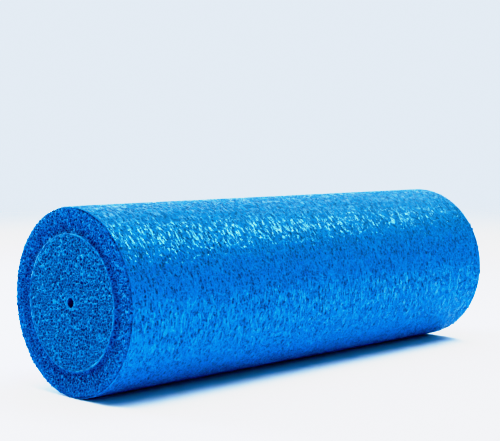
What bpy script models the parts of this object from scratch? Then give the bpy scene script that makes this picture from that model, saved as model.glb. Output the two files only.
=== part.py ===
"""Foam roller: a polyethylene foam rod in a thick foam jacket, lying on its side.

The roller's axis runs along X and its underside touches the plane z = 0, with the
origin under the middle of its length. From the axis outwards it is made of a core rod
with a narrow centre hole, the weld layer that holds the jacket on, the foam jacket, and
the dense, glossy skin that the jacket was extruded with. All lengths are in metres.
"""

import math

import bpy

# Driving dimensions
ROLLER_DIAMETER = 0.150
ROLLER_LENGTH = 0.450
CORE_DIAMETER = 0.106
CENTRE_HOLE_DIAMETER = 0.007
WELD_THICKNESS = 0.0010
SKIN_THICKNESS = 0.0008
JOINT_GAP = 0.0003

# Edges left by cutting the roller to length
JACKET_EDGE_RADIUS = 0.0025
SKIN_EDGE_RADIUS = 0.0003
HOLE_MOUTH_FLARE = 0.0006

# Fineness of the turned shapes: an even number of sides, so that one lies flat below
SIDES = 96
ARC_STEPS = 6

# Radii and half lengths that follow from the driving dimensions
SKIN_OUTER = ROLLER_DIAMETER / 2
SKIN_INNER = SKIN_OUTER - SKIN_THICKNESS
JACKET_OUTER = SKIN_INNER - JOINT_GAP
CORE_OUTER = CORE_DIAMETER / 2
WELD_INNER = CORE_OUTER + JOINT_GAP
WELD_OUTER = WELD_INNER + WELD_THICKNESS
JACKET_INNER = WELD_OUTER + JOINT_GAP
HOLE_RADIUS = CENTRE_HOLE_DIAMETER / 2
HALF_LENGTH = ROLLER_LENGTH / 2
SKIN_HALF_LENGTH = HALF_LENGTH - JACKET_EDGE_RADIUS

# The axis height puts the lowest flat side on z = 0
HALF_SIDE_ANGLE = math.pi / SIDES
AXIS_HEIGHT = SKIN_OUTER * math.cos(HALF_SIDE_ANGLE)


def clear_scene():
    for obj in list(bpy.data.objects):
        bpy.data.objects.remove(obj)


def foam(name, colour, roughness, coat=0.0):
    """A Principled material for one kind of foam surface."""
    material = bpy.data.materials.new(name)
    material.use_nodes = True
    shader = material.node_tree.nodes["Principled BSDF"]
    shader.inputs["Base Color"].default_value = (*colour, 1.0)
    shader.inputs["Roughness"].default_value = roughness
    shader.inputs["Metallic"].default_value = 0.0
    shader.inputs["Coat Weight"].default_value = coat
    return material


def corner(radius, half_length, rounding, top):
    """Points of an outer corner, rounded off as an arc, from top to bottom."""
    points = []
    for step in range(ARC_STEPS + 1):
        angle = math.pi / 2 * step / ARC_STEPS
        if top:
            across, up = math.sin(angle), math.cos(angle)
        else:
            across, up = math.cos(angle), -math.sin(angle)
        level = half_length - rounding
        points.append(
            (
                radius - rounding + rounding * across,
                (level if top else -level) + rounding * up,
            )
        )
    return points


def outer_side(radius, half_length, rounding):
    """The outer side of a turned profile, from its top end to its bottom end."""
    if rounding == 0:
        return [(radius, half_length), (radius, -half_length)]
    return corner(radius, half_length, rounding, True) + corner(
        radius, half_length, rounding, False
    )


def inner_side(radius, half_length, flare):
    """The bore of a turned profile, from its bottom end to its top end."""
    if flare == 0:
        return [(radius, -half_length), (radius, half_length)]
    return [
        (radius + flare, -half_length),
        (radius, -half_length + flare),
        (radius, half_length - flare),
        (radius + flare, half_length),
    ]


def turned_tube(name, inner, outer, half_length, axis, collection, rounding=0.0, flare=0.0):
    """A tube turned about the roller's axis: a closed profile with a Screw modifier."""
    profile = outer_side(outer, half_length, rounding)
    profile += inner_side(inner, half_length, flare)
    points = [(radius, 0.0, level) for radius, level in profile]
    loop = [(i, (i + 1) % len(points)) for i in range(len(points))]
    mesh = bpy.data.meshes.new(name)
    mesh.from_pydata(points, loop, [])
    tube = bpy.data.objects.new(name, mesh)
    collection.objects.link(tube)
    screw = tube.modifiers.new("turn", "SCREW")
    screw.axis = "Z"
    screw.angle = 2 * math.pi
    screw.screw_offset = 0.0
    screw.steps = SIDES
    screw.render_steps = SIDES
    screw.use_merge_vertices = True
    screw.merge_threshold = 0.00001
    tube.parent = axis
    tube.rotation_euler = (0.0, 0.0, HALF_SIDE_ANGLE)
    return tube


def roller_axis(collection):
    """The empty that lays everything turned about its own Z along world X."""
    axis = bpy.data.objects.new("roller_axis", None)
    collection.objects.link(axis)
    axis.location = (0.0, 0.0, AXIS_HEIGHT)
    axis.rotation_euler = (0.0, math.pi / 2, 0.0)
    return axis


def core_rod(axis, collection):
    """The extruded rod in the middle, with the hole its die's pin left."""
    rod = turned_tube(
        "core_rod", HOLE_RADIUS, CORE_OUTER, HALF_LENGTH, axis, collection, flare=HOLE_MOUTH_FLARE
    )
    rod.data.materials.append(foam("core_foam", (0.010, 0.150, 0.510), 0.75))


def weld_layer(axis, collection):
    """The melted and set foam that joins the core to the jacket."""
    layer = turned_tube("weld_layer", WELD_INNER, WELD_OUTER, HALF_LENGTH, axis, collection)
    layer.data.materials.append(foam("weld_foam", (0.015, 0.210, 0.620), 0.55))


def jacket(axis, collection):
    """The thick foam tube round the core, its cut edges softened."""
    tube = turned_tube(
        "jacket",
        JACKET_INNER,
        JACKET_OUTER,
        HALF_LENGTH,
        axis,
        collection,
        rounding=JACKET_EDGE_RADIUS,
    )
    tube.data.materials.append(foam("jacket_foam", (0.008, 0.120, 0.460), 0.75))


def outer_skin(axis, collection):
    """The closed, glossy skin on the jacket, which ends where the cut edge begins."""
    skin = turned_tube(
        "outer_skin",
        SKIN_INNER,
        SKIN_OUTER,
        SKIN_HALF_LENGTH,
        axis,
        collection,
        rounding=SKIN_EDGE_RADIUS,
    )
    skin.data.materials.append(foam("skin_foam", (0.008, 0.215, 0.680), 0.38, coat=0.3))


def main():
    clear_scene()
    collection = bpy.data.collections.new("foam_roller")
    bpy.context.scene.collection.children.link(collection)
    axis = roller_axis(collection)
    core_rod(axis, collection)
    weld_layer(axis, collection)
    jacket(axis, collection)
    outer_skin(axis, collection)


main()
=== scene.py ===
import math

import bpy
import numpy as np
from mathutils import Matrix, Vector, noise


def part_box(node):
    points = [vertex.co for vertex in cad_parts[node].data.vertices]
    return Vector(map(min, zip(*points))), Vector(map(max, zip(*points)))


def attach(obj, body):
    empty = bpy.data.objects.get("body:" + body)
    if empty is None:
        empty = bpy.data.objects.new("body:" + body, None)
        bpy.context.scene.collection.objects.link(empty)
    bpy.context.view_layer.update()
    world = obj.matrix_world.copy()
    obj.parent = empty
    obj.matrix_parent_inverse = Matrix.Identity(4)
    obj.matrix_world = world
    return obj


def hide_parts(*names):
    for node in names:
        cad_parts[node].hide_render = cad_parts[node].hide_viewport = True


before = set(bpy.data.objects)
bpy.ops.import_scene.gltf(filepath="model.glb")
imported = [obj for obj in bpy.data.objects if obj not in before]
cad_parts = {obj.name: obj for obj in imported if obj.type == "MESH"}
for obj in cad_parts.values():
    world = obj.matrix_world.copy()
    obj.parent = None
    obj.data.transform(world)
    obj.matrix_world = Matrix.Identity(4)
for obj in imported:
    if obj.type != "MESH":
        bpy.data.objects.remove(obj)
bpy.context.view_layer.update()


# ---------------------------------------------------------------- Core rod
# A rod of soft polyethylene foam, pushed hot through a round die whose pin leaves a hole down its length.
# Sawing it to length cuts the bubbles at its ends open, so an end is a net of walls round dark pockets.

core_low, core_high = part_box("core_rod")
half_length = core_high.x
axis_height = (core_low.z + core_high.z) / 2
core_radius = (core_high.z - core_low.z) / 2

hole_radius = 0.0035
mouth_radius = 0.0041
mouth_depth = 0.0020
hole_wander = 0.0007
core_edge_radius = 0.0004
core_bubble = 0.0025
core_pocket_depth = 0.0009
large_bubble = 0.0058
large_pocket_depth = 0.0018
large_pocket_reach = 0.034
large_pocket_share = 0.28
core_swell = 0.0003
core_swell_length = 0.02
torn_length = 0.0035
torn_start, torn_end = 0.0002, 0.0015
collar_start, collar_end = 0.0004, 0.0030
rim_start, rim_full = 0.0012, 0.0003
shade_start, shade_full = 0.0001, 0.0006
pit_bend_length = 0.004
pit_bend = 0.0008

cut_face_spacing = 0.00040
fewest_sides = 96
front_part, outside_part, back_part, bore_part = range(4)

core_wall_blue = (0.0, 0.158, 0.450)
# The pocket blue is painted shade for the dark depths of the open bubbles.
core_pocket_shade_blue = (0.0, 0.017, 0.115)
foam_gloss_tint = (0.10, 0.75, 1.0)


def smooth_step(low, high, values):
    """0 below low, 1 above high, and an even S between them."""
    share = np.clip((values - low) / (high - low), 0.0, 1.0)
    return share * share * (3.0 - 2.0 * share)


def bubbles(points, size, seed):
    """How far each point is from the nearest and the second nearest bubble centre, in bubble sizes,
    and a number from 0 to 1 that every point of the same bubble shares."""
    scaled = points / size
    home = np.floor(scaled).astype(int)
    first = home.min(axis=0) - 1
    shape = home.max(axis=0) - first + 2
    random = np.random.default_rng(seed)
    centres = random.random((*shape, 3))
    chances = random.random(shape)
    nearest = np.full(len(points), 9.0)
    second = np.full(len(points), 9.0)
    chance = np.zeros(len(points))
    for step in np.ndindex(3, 3, 3):
        cell = home + np.array(step) - 1
        index = tuple((cell - first).T)
        away = np.linalg.norm(cell + centres[index] - scaled, axis=1)
        closer = away < nearest
        second = np.where(closer, nearest, np.minimum(second, away))
        chance = np.where(closer, chances[index], chance)
        nearest = np.where(closer, away, nearest)
    return nearest, second, chance


def ripple(points, length):
    """Smooth noise of about that wavelength at each point, from -1 to 1."""
    return np.array([noise.noise(point) for point in (points / length).tolist()])


def stirred(points, length, shift):
    """The points moved about by smooth noise, so that bubble walls bend instead of running straight."""
    moves = [ripple(points + 7.0 * length * k, length) for k in (1, 2, 3)]
    return points + shift * np.stack(moves, axis=1)


def sides_at(radius, spacing):
    """How many sides a ring of this radius needs, doubling outwards from the fewest."""
    doublings = math.ceil(math.log2(max(1.0, 2 * math.pi * radius / (fewest_sides * spacing))))
    return fewest_sides * 2**doublings


def steps_between(start, end, spacing):
    """Evenly spaced values from start to end, both included."""
    return np.linspace(start, end, max(2, round(abs(end - start) / spacing) + 1))


def sawn_tube_rings(inner, outer, edge, spacing):
    """The rings of a tube sawn off square at both ends with its outer edges rounded. Each is
    (place along the axis, radius, outward direction along, outward direction across, part), and
    part says whether it is on the front face, the outside, the back face or the bore."""
    flat_radii = steps_between(inner, outer - edge, spacing)
    front = [(-half_length, radius, -1.0, 0.0, front_part) for radius in flat_radii]
    for angle in np.linspace(0, math.pi / 2, max(3, round(edge * math.pi / 2 / spacing)) + 1)[1:]:
        place = -half_length + edge * (1 - math.cos(angle))
        radius = outer - edge + edge * math.sin(angle)
        front.append((place, radius, -math.cos(angle), math.sin(angle), front_part))
    back = [(-x, radius, -along, across, back_part) for x, radius, along, across, _ in reversed(front)]
    hidden = [0.96, 0.93, 0.9, 0.6, 0.3, 0.0, -0.3, -0.6, -0.9, -0.93, -0.96]
    down_bore = [0.998, 0.99] + hidden + [-0.99, -0.998]
    outside = [(-share * half_length, outer, 0.0, 1.0, outside_part) for share in hidden]
    bore = [(share * half_length, inner, 0.0, -1.0, bore_part) for share in down_bore]
    return front + outside + back + bore


def on_sawn_face(parts):
    """Whether each point is on one of the two sawn ends."""
    return (parts == front_part) | (parts == back_part)


def ring_sides(rings, spacing):
    """How many sides each ring has: many on the sawn faces, and half as many from ring to ring out of
    sight."""
    counts = []
    for _, radius, _, _, part in rings:
        counts.append(sides_at(radius, spacing) if on_sawn_face(part) else fewest_sides)
    for step in (1, -1):
        for i in range(2 * len(counts)):
            here, before = step * i % len(counts), step * (i - 1) % len(counts)
            counts[here] = max(counts[here], counts[before] // 2)
    return counts


def ring_points(rings, counts):
    """Every point of the rings, its outward direction, and the part that it is on."""
    points, outward, parts = [], [], []
    for (x, radius, along, across, part), count in zip(rings, counts):
        turn = 2 * math.pi * np.arange(count) / count
        cosine, sine = np.cos(turn), np.sin(turn)
        points.append(np.stack([np.full(count, x), radius * cosine, axis_height + radius * sine], axis=1))
        outward.append(np.stack([np.full(count, along), across * cosine, across * sine], axis=1))
        parts.append(np.full(count, part))
    return np.concatenate(points), np.concatenate(outward), np.concatenate(parts)


def faces_between(start, count, next_start, next_count):
    """Faces from one ring to the next, as point numbers and as shares of a turn: four-sided, or
    three-sided where one ring has twice as many points as the other."""
    small = min(count, next_count)
    step = np.arange(small)
    here = (start, count, count // small)
    there = (next_start, next_count, next_count // small)

    def corner(ring, halves):
        first, total, scale = ring
        place = step * scale + halves * scale // 2
        return first + place % total, place / total

    if count == next_count:
        patterns = [[(here, 0), (here, 2), (there, 2), (there, 0)]]
    elif count > next_count:
        patterns = [
            [(here, 0), (here, 1), (there, 0)],
            [(here, 1), (there, 2), (there, 0)],
            [(here, 1), (here, 2), (there, 2)],
        ]
    else:
        patterns = [
            [(here, 0), (there, 1), (there, 0)],
            [(here, 0), (here, 2), (there, 1)],
            [(here, 2), (there, 2), (there, 1)],
        ]
    for pattern in patterns:
        corners = [corner(*item) for item in pattern]
        yield np.stack([c[0] for c in corners], axis=1), np.stack([c[1] for c in corners], axis=1)


def turned_piece(name, counts, points, hollow, flat_layout):
    """A closed tube through the rings of points, smooth shaded, with how hollow each point is kept as
    an attribute and the surface laid out flat by flat_layout as a UV map."""
    starts = np.concatenate([[0], np.cumsum(counts)])
    faces, turns = [], []
    for i in range(len(counts)):
        after = (i + 1) % len(counts)
        for corners, shares in faces_between(starts[i], counts[i], starts[after], counts[after]):
            faces.extend(corners.tolist())
            turns.append(np.stack([corners.ravel(), shares.ravel()], axis=1))
    turns = np.concatenate(turns)
    mesh = bpy.data.meshes.new(name)
    mesh.from_pydata(points.tolist(), [], faces)
    mesh.shade_smooth()
    mesh.attributes.new("hollow", "FLOAT", "POINT").data.foreach_set("value", hollow.astype(np.float32))
    layout = flat_layout(turns[:, 0].astype(int), turns[:, 1])
    mesh.uv_layers.new(name="OFBake").data.foreach_set("uv", layout.astype(np.float32).ravel())
    piece = bpy.data.objects.new(name, mesh)
    bpy.context.scene.collection.objects.link(piece)
    return piece


def sawn_layout(points, parts, outer):
    """Lays a sawn tube out flat: its two faces as discs side by side, above them its outside and bore."""
    disc_radius, disc_height = 0.245, 0.25
    front_disc, back_disc = 0.25, 0.75
    strip_width, outside_strip, bore_strip = 0.24, 0.505, 0.755

    def layout(corner_points, turns):
        place, part = points[corner_points], parts[corner_points]
        share = disc_radius / outer
        across = place[:, 1] * share
        up = (place[:, 2] - axis_height) * share
        along = strip_width * (place[:, 0] / half_length * 0.5 + 0.5)
        on_face = on_sawn_face(part)
        u = np.where(on_face, across + np.where(part == front_part, front_disc, back_disc), turns)
        strip = np.where(part == outside_part, outside_strip, bore_strip)
        v = np.where(on_face, up + disc_height, along + strip)
        return np.stack([u, v], axis=1)

    return layout


def sawn_bubbles(points, size, seed):
    """How hollow sawn foam is at each point: 0 on the walls between bubbles, 1 deep in an open one."""
    nearest, second, chance = bubbles(stirred(points, size * 1.4, size * 0.35), size, seed)
    return smooth_step(0.02, 0.24, second - nearest) * (0.60 + 0.40 * chance)


def away_from_axis(points):
    """The direction from the roller's axis to each point, and how far away it is."""
    across = points - np.array([0.0, 0.0, axis_height])
    across[:, 0] = 0.0
    distance = np.linalg.norm(across, axis=1)
    return across / distance[:, None], distance


def link(tree, source, target):
    tree.links.new(source, target)


def node(tree, kind, **settings):
    """A shader node of that kind with these settings."""
    made = tree.nodes.new(kind)
    for key, value in settings.items():
        setattr(made, key, value)
    return made


def colour_ramp(tree, stops):
    """A colour ramp through (place, colour) stops."""
    ramp = tree.nodes.new("ShaderNodeValToRGB")
    elements = ramp.color_ramp.elements
    while len(elements) < len(stops):
        elements.new(0.5)
    for element, (place, colour) in zip(elements, stops):
        element.position = place
        element.color = (*colour, 1.0)
    return ramp


def foam_finish(name, wall_blue, pocket_shade_blue, grain, grain_share, patches, roughness, gloss):
    """Foam coloured by how hollow it is: the hollows, and the pockets of finer bubbles of the size grain, are
    darkened as painted shade, and it is mottled in patches. Its roughness runs from the first value on the
    walls to the second in the hollows."""
    wall_hollow, pocket_hollow = 0.15, 0.60
    grain_wall, grain_pocket = 0.03, 0.25
    grain_depth = 0.0004
    patches_per_metre = 90
    middle_place, pocket_place = 0.45, 0.95

    material = bpy.data.materials.new(name)
    material.use_nodes = True
    tree = material.node_tree
    shader = tree.nodes["Principled BSDF"]
    shader.inputs["Specular IOR Level"].default_value = gloss
    shader.inputs["Specular Tint"].default_value = (*foam_gloss_tint, 1.0)

    place = tree.nodes.new("ShaderNodeTexCoord")
    hollow = node(tree, "ShaderNodeAttribute", attribute_name="hollow")

    polish = node(tree, "ShaderNodeMapRange", name="polish")
    polish.inputs["From Min"].default_value = wall_hollow
    polish.inputs["From Max"].default_value = pocket_hollow
    polish.inputs["To Min"].default_value = roughness[0]
    polish.inputs["To Max"].default_value = roughness[1]
    link(tree, hollow.outputs["Fac"], polish.inputs["Value"])
    link(tree, polish.outputs["Result"], shader.inputs["Roughness"])

    fine = node(tree, "ShaderNodeTexVoronoi", feature="DISTANCE_TO_EDGE")
    fine.inputs["Scale"].default_value = 1 / grain
    link(tree, place.outputs["Object"], fine.inputs["Vector"])
    prick = node(tree, "ShaderNodeMapRange", clamp=True)
    prick.inputs["From Min"].default_value = grain_wall
    prick.inputs["From Max"].default_value = grain_pocket
    prick.inputs["To Min"].default_value = -grain_share
    prick.inputs["To Max"].default_value = grain_share
    link(tree, fine.outputs["Distance"], prick.inputs["Value"])

    mottle = node(tree, "ShaderNodeTexNoise")
    mottle.inputs["Scale"].default_value = patches_per_metre
    mottle.inputs["Detail"].default_value = 3
    link(tree, place.outputs["Object"], mottle.inputs["Vector"])
    shift = node(tree, "ShaderNodeMath", operation="MULTIPLY_ADD")
    shift.inputs[1].default_value = patches
    shift.inputs[2].default_value = -patches / 2
    link(tree, mottle.outputs["Fac"], shift.inputs[0])

    total = node(tree, "ShaderNodeMath", operation="ADD")
    link(tree, hollow.outputs["Fac"], total.inputs[0])
    link(tree, prick.outputs["Result"], total.inputs[1])
    mixed = node(tree, "ShaderNodeMath", operation="ADD", use_clamp=True)
    link(tree, total.outputs[0], mixed.inputs[0])
    link(tree, shift.outputs[0], mixed.inputs[1])

    # The ramp runs from the wall colour to the pocket colour, which is painted shade for the hollows.
    middle = tuple(0.45 * w + 0.55 * p for w, p in zip(wall_blue, pocket_shade_blue))
    ramp = colour_ramp(tree, [(0.0, wall_blue), (middle_place, middle), (pocket_place, pocket_shade_blue)])
    link(tree, mixed.outputs[0], ramp.inputs["Fac"])
    link(tree, ramp.outputs["Color"], shader.inputs["Base Color"])

    bump = tree.nodes.new("ShaderNodeBump")
    bump.inputs["Strength"].default_value = 0.5
    bump.inputs["Distance"].default_value = grain_depth
    bump.invert = True
    link(tree, prick.outputs["Result"], bump.inputs["Height"])
    link(tree, bump.outputs["Normal"], shader.inputs["Normal"])
    return material


core_rings = sawn_tube_rings(mouth_radius, core_radius, core_edge_radius, cut_face_spacing)
core_counts = ring_sides(core_rings, cut_face_spacing)
core_points, core_outward, core_parts = ring_points(core_rings, core_counts)
core_sawn = on_sawn_face(core_parts)
radial, from_axis = away_from_axis(core_points)

# How hollow each point is sinks it and also darkens its colour, as painted shade in the pockets.
core_hollow = sawn_bubbles(core_points, core_bubble, 11)
nearest, _, chance = bubbles(stirred(core_points, pit_bend_length, pit_bend), large_bubble, 12)
likely = large_pocket_share * (1 - smooth_step(0.4 * large_pocket_reach, large_pocket_reach, from_axis))
large_hollow = (1 - smooth_step(0.12, 0.30, nearest)) * (chance < likely)
dense_rim = smooth_step(core_radius - rim_start, core_radius - rim_full, from_axis)
dense_hole = 1 - smooth_step(mouth_radius + collar_start, mouth_radius + collar_end, from_axis)
open_share = (1 - 0.5 * dense_rim) * (1 - 0.6 * dense_hole) * core_sawn
core_hollow = core_hollow * open_share
large_hollow = large_hollow * open_share
depth = core_pocket_depth * core_hollow + large_pocket_depth * large_hollow
swell = core_swell * ripple(core_points, core_swell_length) * core_sawn * (1 - dense_hole)
core_points = core_points + core_outward * (swell - depth)[:, None]
near_hole = 1 - smooth_step(mouth_radius + torn_start, mouth_radius + torn_end, from_axis)
ragged = hole_wander * near_hole * ripple(core_points * np.array([0.2, 1.0, 1.0]), torn_length)
core_points = core_points + radial * ragged[:, None]
down_bore = smooth_step(0.0, mouth_depth, half_length - np.abs(core_points[:, 0])) * (core_parts == bore_part)
core_points = core_points - radial * ((mouth_radius - hole_radius) * down_bore)[:, None]
from_end = half_length - np.abs(core_points[:, 0])
# Down the bore the colour is darkened to the pocket blue, as painted shade in the hole.
bore_painted_shade = smooth_step(shade_start, shade_full, from_end) * (core_parts == bore_part)
core_hollow = np.maximum(np.maximum(core_hollow, large_hollow), bore_painted_shade)

core_layout = sawn_layout(core_points, core_parts, core_radius)
core = turned_piece("core_foam_rod", core_counts, core_points, core_hollow, core_layout)
core_foam = foam_finish(
    "core_foam",
    core_wall_blue,
    core_pocket_shade_blue,
    grain=0.0011,
    grain_share=0.10,
    patches=0.05,
    roughness=(0.55, 0.80),
    gloss=0.15,
)
core.data.materials.append(core_foam)
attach(core, "root")
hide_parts("core_rod")


# -------------------------------------------------------------- Weld layer
# Hot air melts the core's surface as the jacket is laid round it, and the melt sets into a thin, dense
# layer that holds the two together. Sawn through, it shows as a pale smooth line round the core.

weld_low, weld_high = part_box("weld_layer")
weld_inner = core_radius + 0.0001
weld_outer = (weld_high.z - weld_low.z) / 2
weld_edge = 0.0004
weld_crown = 0.0001
weld_spacing = 0.00030
weld_side_spacing = 0.0005
weld_speckle_length = 0.0030
weld_drift_length = 0.014

weld_blue = (0.0, 0.170, 0.520)
weld_shade_blue = (0.0, 0.030, 0.190)

weld_rings = sawn_tube_rings(weld_inner, weld_outer, weld_edge, weld_spacing)
weld_counts = ring_sides(weld_rings, weld_side_spacing)
weld_points, weld_outward, weld_parts = ring_points(weld_rings, weld_counts)
weld_sawn = on_sawn_face(weld_parts)
speckle = ripple(weld_points, weld_speckle_length)
drift = ripple(weld_points, weld_drift_length)
weld_hollow = np.clip(0.40 + 0.9 * speckle + 0.4 * drift, 0, 1)
weld_points = weld_points + weld_outward * (weld_sawn * weld_crown * (0.5 - weld_hollow))[:, None]

weld_layout = sawn_layout(weld_points, weld_parts, weld_outer)
weld = turned_piece("weld_line", weld_counts, weld_points, weld_hollow, weld_layout)
weld_foam = foam_finish(
    "weld_foam",
    weld_blue,
    weld_shade_blue,
    grain=0.0012,
    grain_share=0.12,
    patches=0.16,
    roughness=(0.45, 0.70),
    gloss=0.20,
)
weld.data.materials.append(weld_foam)
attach(weld, "root")
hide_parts("weld_layer")


# ------------------------------------------------------------------ Jacket
# The thick tube round the core is the same foam with finer bubbles, so it sees the user's weight first.
# Cooling draws its sawn ends in beside the weld, and handling rounds their outer edges.

jacket_low, jacket_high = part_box("jacket")
jacket_inner = weld_outer + 0.0001
jacket_outer = (jacket_high.z - jacket_low.z) / 2 + 0.0008
jacket_tuck = 0.0009
jacket_edge = 0.0030
jacket_bubble = 0.0023
jacket_pocket_depth = 0.0010
jacket_dip = 0.0015
jacket_swell = 0.0004
jacket_swell_length = 0.012
ragged_edge = 0.0014
ragged_length = 0.0021
dip_place, dip_width = 0.14, 0.30
worn_lit_start, worn_lit_full = 0.55, 0.98
lap_start, lap_full = 0.0018, 0.0011

jacket_wall_blue = (0.0, 0.140, 0.475)
# The pocket blue is painted shade for the dark depths of the open bubbles.
jacket_pocket_shade_blue = (0.0, 0.016, 0.125)
edge_void_turn = math.radians(190)
edge_void_radius = 0.0585
edge_void_size = 0.0019
edge_void_depth = 0.0022

jacket_rings = sawn_tube_rings(jacket_inner, jacket_outer, jacket_edge, cut_face_spacing)
jacket_counts = ring_sides(jacket_rings, cut_face_spacing)
jacket_points, jacket_outward, jacket_parts = ring_points(jacket_rings, jacket_counts)
jacket_sawn = on_sawn_face(jacket_parts)
radial, from_axis = away_from_axis(jacket_points)
across_wall = (from_axis - jacket_inner) / (jacket_outer - jacket_inner)

jacket_hollow = sawn_bubbles(jacket_points, jacket_bubble, 21)
# Beside the weld the end dips in, and its colour there is also darkened, as painted shade in the dip.
weld_dip_and_shade = np.exp(-((across_wall - dip_place) / dip_width) ** 2) * smooth_step(-0.02, 0.08, across_wall)
# Towards the outer edge the foam is ragged from wear, and its colour is lightened there as painted light on
# the rounded rim.
worn_and_lit_edge = smooth_step(worn_lit_start, worn_lit_full, across_wall)
jacket_hollow = np.clip(jacket_hollow + 0.15 * weld_dip_and_shade - 0.30 * worn_and_lit_edge, 0, 1) * jacket_sawn
void_centre = np.array([
    -half_length,
    edge_void_radius * math.cos(edge_void_turn),
    axis_height + edge_void_radius * math.sin(edge_void_turn),
])
from_void = (jacket_points - void_centre) * np.array([1.0, 1.0, 0.6])
edge_void = (1 - smooth_step(0.4, 1.1, np.linalg.norm(from_void, axis=1) / edge_void_size)) * jacket_sawn
swell = jacket_swell * ripple(jacket_points, jacket_swell_length)
swell = swell + ragged_edge * worn_and_lit_edge * ripple(jacket_points, ragged_length)
sunk = jacket_dip * weld_dip_and_shade + jacket_pocket_depth * jacket_hollow + edge_void_depth * edge_void - swell
jacket_points = jacket_points - jacket_outward * (sunk * jacket_sawn)[:, None]
along = np.abs(jacket_points[:, 0])
under_skin = 1 - smooth_step(half_length - lap_start, half_length - lap_full, along)
tuck = jacket_tuck * under_skin * (from_axis > jacket_outer - jacket_edge)
jacket_points = jacket_points - radial * tuck[:, None]
# The void's colour is set to the pocket blue, as painted shade inside it.
jacket_hollow = np.maximum(jacket_hollow, edge_void)

jacket_layout = sawn_layout(jacket_points, jacket_parts, jacket_outer)
jacket = turned_piece("jacket_foam_tube", jacket_counts, jacket_points, jacket_hollow, jacket_layout)
jacket_foam = foam_finish(
    "jacket_foam",
    jacket_wall_blue,
    jacket_pocket_shade_blue,
    grain=0.0010,
    grain_share=0.10,
    patches=0.16,
    roughness=(0.55, 0.80),
    gloss=0.15,
)
jacket.data.materials.append(jacket_foam)
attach(jacket, "root")
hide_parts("jacket")


# -------------------------------------------------------------- Outer skin
# The jacket's outside touched the die, so its bubbles collapsed into a closed, shiny skin. As the foam
# swelled, the skin drew into shallow dimples, and fine creases that run round the roller catch the light.

skin_low, skin_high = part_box("outer_skin")
skin_outer = (skin_high.z - skin_low.z) / 2
skin_thickness = 0.0009
skin_lip_thickness = 0.0003
skin_inner = skin_outer - skin_thickness
skin_edge = 0.0030
skin_edge_turn = math.radians(38)
skin_sides = 560
skin_spacing = 0.00062
skin_relief = 0.00040
dimple = np.array([0.0027, 0.0048, 0.0048])
dimple_bend = 0.0013
dimple_bend_length = 0.006
wrinkle_length = 0.0018
wave_length = 0.016
ridge_width = 0.26
lip_start, lip_full = 0.0002, 0.0016

skin_ridge_blue = (0.0, 0.172, 0.635)
# The dimple blue is painted shade for the hollows of the dimples.
skin_dimple_shade_blue = (0.0, 0.003, 0.085)
skin_gloss_tint = (0.26, 0.80, 1.0)
crease_spacing = 0.0014
crease_stretch = 4.2
crease_height = 0.00028
crease_foot = 0.515
crease_top = 0.59
crease_painted_highlight = 0.60
fine_bump = 0.2

straight = half_length - skin_edge
skin_places = steps_between(-straight, straight, skin_spacing)
skin_rings = [(x, skin_outer, 0.0, 1.0, outside_part) for x in skin_places]
edge_turns = np.linspace(0, skin_edge_turn, 6)[1:]
rolled_edge = []
for t in edge_turns:
    level = skin_outer - skin_edge * (1 - math.cos(t))
    rolled_edge.append((straight + skin_edge * math.sin(t), level, math.sin(t), math.cos(t), outside_part))
for t in reversed(edge_turns):
    bend = skin_edge - skin_thickness + (skin_thickness - skin_lip_thickness) * t / skin_edge_turn
    level = skin_outer - skin_edge + bend * math.cos(t)
    rolled_edge.append((straight + bend * math.sin(t), level, -math.sin(t), -math.cos(t), bore_part))
skin_rings += rolled_edge
for share in (0.999, 0.6, 0.2, -0.2, -0.6, -0.999):
    skin_rings.append((share * straight, skin_inner, 0.0, -1.0, bore_part))
for x, radius, along, across, part in reversed(rolled_edge):
    skin_rings.append((-x, radius, -along, across, part))
skin_counts = [skin_sides] * len(skin_rings)
skin_points, skin_outward, skin_parts = ring_points(skin_rings, skin_counts)
on_outside = skin_parts == outside_part

bent = stirred(skin_points, dimple_bend_length, dimple_bend)
nearest, second, chance = bubbles(bent, dimple, 31)
inside = smooth_step(0.0, ridge_width, second - nearest) * (0.60 + 0.40 * chance)
wrinkle = ripple(skin_points * np.array([1.0, 0.30, 0.30]), wrinkle_length)
wave = ripple(skin_points, wave_length)
at_lip = smooth_step(straight + lip_start, straight + lip_full, np.abs(skin_points[:, 0]))
# Deeper dimples are coloured darker, as painted shade, as well as sunk.
skin_hollow = np.clip(0.85 * inside + 0.30 * wrinkle + 0.12 * wave, 0, 1) * (1 - 0.60 * at_lip)
skin_points = skin_points - skin_outward * (skin_relief * skin_hollow * on_outside)[:, None]


def skin_layout(corner_points, turns):
    """Lays the skin out flat as one sheet, with its hidden inside as a narrow strip beside it."""
    place, part = skin_points[corner_points], skin_parts[corner_points]
    along = place[:, 0] / half_length * 0.5 + 0.5
    v = np.where(part == outside_part, 0.002 + 0.966 * along, 0.975 + 0.02 * along)
    return np.stack([turns, v], axis=1)


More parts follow.
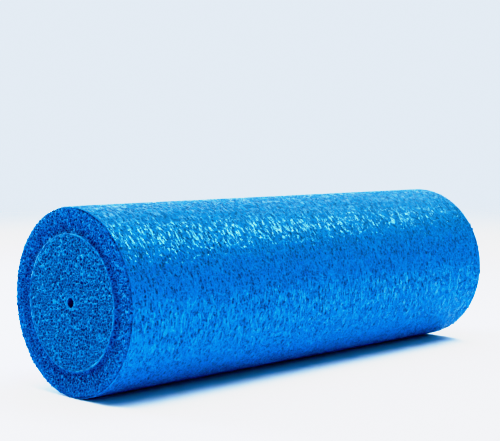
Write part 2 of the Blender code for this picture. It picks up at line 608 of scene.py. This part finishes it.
def creased(material, matt, polished):
    """Raises fine creases that run round the roller, paints their crests paler as a painted highlight, and
    polishes them on the otherwise matt skin.
    """
    tree = material.node_tree
    shader = tree.nodes["Principled BSDF"]
    lengthened = node(tree, "ShaderNodeVectorMath", operation="MULTIPLY")
    lengthened.inputs[1].default_value = (1.0, 1 / crease_stretch, 1 / crease_stretch)
    link(tree, tree.nodes["Texture Coordinate"].outputs["Object"], lengthened.inputs[0])
    drawn = tree.nodes.new("ShaderNodeTexNoise")
    drawn.inputs["Scale"].default_value = 1 / crease_spacing
    drawn.inputs["Detail"].default_value = 1
    link(tree, lengthened.outputs[0], drawn.inputs["Vector"])
    crest = node(tree, "ShaderNodeMapRange", interpolation_type="SMOOTHSTEP")
    crest.inputs["From Min"].default_value = crease_foot
    crest.inputs["From Max"].default_value = crease_top
    link(tree, drawn.outputs["Fac"], crest.inputs["Value"])

    # The crests are lightened in colour, a painted highlight on them.
    ramp = tree.nodes["Color Ramp"]
    painted_highlight = node(tree, "ShaderNodeMath", operation="MULTIPLY_ADD", use_clamp=True)
    painted_highlight.inputs[1].default_value = -crease_painted_highlight
    link(tree, crest.outputs["Result"], painted_highlight.inputs[0])
    link(tree, ramp.inputs["Fac"].links[0].from_socket, painted_highlight.inputs[2])
    link(tree, painted_highlight.outputs[0], ramp.inputs["Fac"])

    polish = tree.nodes["polish"]
    polish.inputs["From Min"].default_value = 0.0
    polish.inputs["From Max"].default_value = 1.0
    polish.inputs["To Min"].default_value = matt
    polish.inputs["To Max"].default_value = polished
    link(tree, crest.outputs["Result"], polish.inputs["Value"])

    tree.nodes["Bump"].inputs["Strength"].default_value = fine_bump
    raised = tree.nodes.new("ShaderNodeBump")
    raised.inputs["Strength"].default_value = 1.0
    raised.inputs["Distance"].default_value = crease_height
    link(tree, crest.outputs["Result"], raised.inputs["Height"])
    link(tree, tree.nodes["Bump"].outputs["Normal"], raised.inputs["Normal"])
    link(tree, raised.outputs["Normal"], shader.inputs["Normal"])


skin = turned_piece("skin", skin_counts, skin_points, skin_hollow, skin_layout)
skin_foam = foam_finish(
    "skin_foam",
    skin_ridge_blue,
    skin_dimple_shade_blue,
    grain=0.0026,
    grain_share=0.28,
    patches=0.22,
    roughness=(0.20, 0.80),
    gloss=0.95,
)
skin_shader = skin_foam.node_tree.nodes["Principled BSDF"]
skin_shader.inputs["Specular Tint"].default_value = (*skin_gloss_tint, 1.0)
creased(skin_foam, matt=0.80, polished=0.19)
skin.data.materials.append(skin_foam)
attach(skin, "root")
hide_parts("outer_skin")


# ------------------------------------------------------- Floor and backdrop
# The roller lies on a table of pale matt board, large enough that its edge is never in view. It fades
# into the backdrop all round, as a paper sweep does in a studio.

floor_radius = 4.0
floor_white = (0.79, 0.85, 1.0)
fade_start = 0.7
fade_end = 3.2
bpy.ops.mesh.primitive_circle_add(vertices=128, radius=floor_radius, fill_type="NGON", location=(0, 0, 0))
floor = bpy.context.object
floor.name = "studio_floor"
floor_paint = bpy.data.materials.new("floor_paint")
floor_paint.use_nodes = True
tree = floor_paint.node_tree
shader = tree.nodes["Principled BSDF"]
shader.inputs["Base Color"].default_value = (*floor_white, 1.0)
shader.inputs["Roughness"].default_value = 0.8
shader.inputs["Specular IOR Level"].default_value = 0.0
place = tree.nodes.new("ShaderNodeTexCoord")
distance = node(tree, "ShaderNodeVectorMath", operation="LENGTH")
link(tree, place.outputs["Object"], distance.inputs[0])
fade = node(tree, "ShaderNodeMapRange", interpolation_type="SMOOTHSTEP")
fade.inputs["From Min"].default_value = fade_start
fade.inputs["From Max"].default_value = fade_end
fade.inputs["To Min"].default_value = 1.0
fade.inputs["To Max"].default_value = 0.0
link(tree, distance.outputs["Value"], fade.inputs["Value"])
link(tree, fade.outputs["Result"], shader.inputs["Alpha"])
floor.data.materials.append(floor_paint)


# -------------------------------------------------------- Light and camera
# A pale room, bright behind the roller and dim on the camera's side, with softboxes over the roller and
# one light that falls on the table alone. The camera stands low in front of the roller's left end. Its
# film deepens the dark tones and softens the brightest ones.

room_colour = (0.90, 0.95, 1.0)
room_dimmest = 0.15
room_brightest = 2.0
backdrop_colour = (0.765, 0.87, 1.85)
white = (1.0, 1.0, 1.0)
near_white = (0.95, 1.0, 1.0)
strip_white = (0.95, 0.98, 1.0)

world = bpy.data.worlds.new("studio")
world.use_nodes = True
bpy.context.scene.world = world
tree = world.node_tree
tree.nodes.clear()
direction = tree.nodes.new("ShaderNodeTexCoord")
towards_back = node(tree, "ShaderNodeVectorMath", operation="DOT_PRODUCT")
towards_back.inputs[1].default_value = (0.25, 0.95, -0.05)
link(tree, direction.outputs["Generated"], towards_back.inputs[0])
room = node(tree, "ShaderNodeMapRange", interpolation_type="SMOOTHSTEP")
room.inputs["From Min"].default_value = -0.30
room.inputs["From Max"].default_value = 0.75
room.inputs["To Min"].default_value = room_dimmest
room.inputs["To Max"].default_value = room_brightest
link(tree, towards_back.outputs["Value"], room.inputs["Value"])
lit_room = tree.nodes.new("ShaderNodeBackground")
lit_room.inputs["Color"].default_value = (*room_colour, 1.0)
link(tree, room.outputs["Result"], lit_room.inputs["Strength"])
backdrop = tree.nodes.new("ShaderNodeBackground")
backdrop.inputs["Color"].default_value = (*backdrop_colour, 1.0)
seen = tree.nodes.new("ShaderNodeLightPath")
mix = tree.nodes.new("ShaderNodeMixShader")
link(tree, seen.outputs["Is Camera Ray"], mix.inputs[0])
link(tree, lit_room.outputs[0], mix.inputs[1])
link(tree, backdrop.outputs[0], mix.inputs[2])
output = tree.nodes.new("ShaderNodeOutputWorld")
link(tree, mix.outputs[0], output.inputs["Surface"])


def softbox(name, place, aim, width, height, power, colour):
    """A rectangular light at place, facing aim."""
    light = bpy.data.lights.new(name, "AREA")
    light.shape = "RECTANGLE"
    light.size = width
    light.size_y = height
    light.energy = power
    light.color = colour
    lamp = bpy.data.objects.new(name, light)
    lamp.location = place
    lamp.rotation_mode = "QUATERNION"
    lamp.rotation_quaternion = (Vector(aim) - Vector(place)).to_track_quat("-Z", "Y")
    bpy.context.scene.collection.objects.link(lamp)
    return lamp


sheen_box = softbox(
    "sheen_softbox", (0.50, -0.18, 0.96), (0, 0, 0.10), width=0.40, height=0.8, power=10.5, colour=near_white
)
sheen_box.visible_diffuse = False
front_fill = softbox(
    "front_fill", (-0.2, -1.6, 0.9), (0, 0, 0.05), width=1.8, height=0.9, power=2.5, colour=white
)
front_fill.visible_glossy = False
overhead = softbox(
    "overhead_softbox", (0.1, 0.0, 1.7), (0, 0, 0.07), width=1.8, height=1.6, power=27, colour=white
)
overhead.visible_glossy = False
softbox(
    "left_strip", (-0.55, 1.5, 0.40), (-0.2, 0, 0.07), width=0.5, height=1.0, power=45, colour=strip_white
)
table_light = softbox(
    "table_light", (0.1, -0.45, 1.7), (0, -0.1, 0), width=1.6, height=1.4, power=40, colour=white
)
table_only = bpy.data.collections.new("table_only")
table_only.objects.link(floor)
table_light.light_linking.receiver_collection = table_only

view = bpy.context.scene.view_settings
view.view_transform = "Standard"
view.use_curve_mapping = True
film = view.curve_mapping
film_range = 2.6
film.white_level = (film_range, film_range, film_range)
tones, reds = film.curves[3], film.curves[0]
tones.points[-1].location = (1.0, 0.925)
tone_steps = [(0.015, 0.003), (0.04, 0.024), (0.1, 0.09), (0.2, 0.21), (0.4, 0.47)]
tone_steps += [(0.6, 0.69), (0.8, 0.81), (1.0, 0.860), (1.3, 0.88), (1.8, 0.892)]
for light_in, shown in tone_steps:
    tones.points.new(light_in / film_range, shown)
reds.points[0].location = (0.0, 0.0026)
red_steps = [(0.02, 0.005), (0.05, 0.022), (0.1, 0.066), (0.2, 0.17), (0.35, 0.34), (0.6, 0.6)]
for light_in, shown in red_steps:
    reds.points.new(light_in, shown)
film.update()

camera_azimuth = math.radians(-45.22)
camera_elevation = math.radians(3.90)
camera_place = (-0.78118, -0.74828, 0.20188)
camera_lens = 86.19
backward = Vector((
    math.sin(camera_azimuth) * math.cos(camera_elevation),
    -math.cos(camera_azimuth) * math.cos(camera_elevation),
    math.sin(camera_elevation),
))
camera_data = bpy.data.cameras.new("camera")
camera_data.sensor_fit = "HORIZONTAL"
camera_data.sensor_width = 36
camera_data.lens = camera_lens
camera = bpy.data.objects.new("camera", camera_data)
camera.location = camera_place
camera.rotation_mode = "QUATERNION"
camera.rotation_quaternion = (-backward).to_track_quat("-Z", "Y")
bpy.context.scene.collection.objects.link(camera)
bpy.context.scene.camera = camera
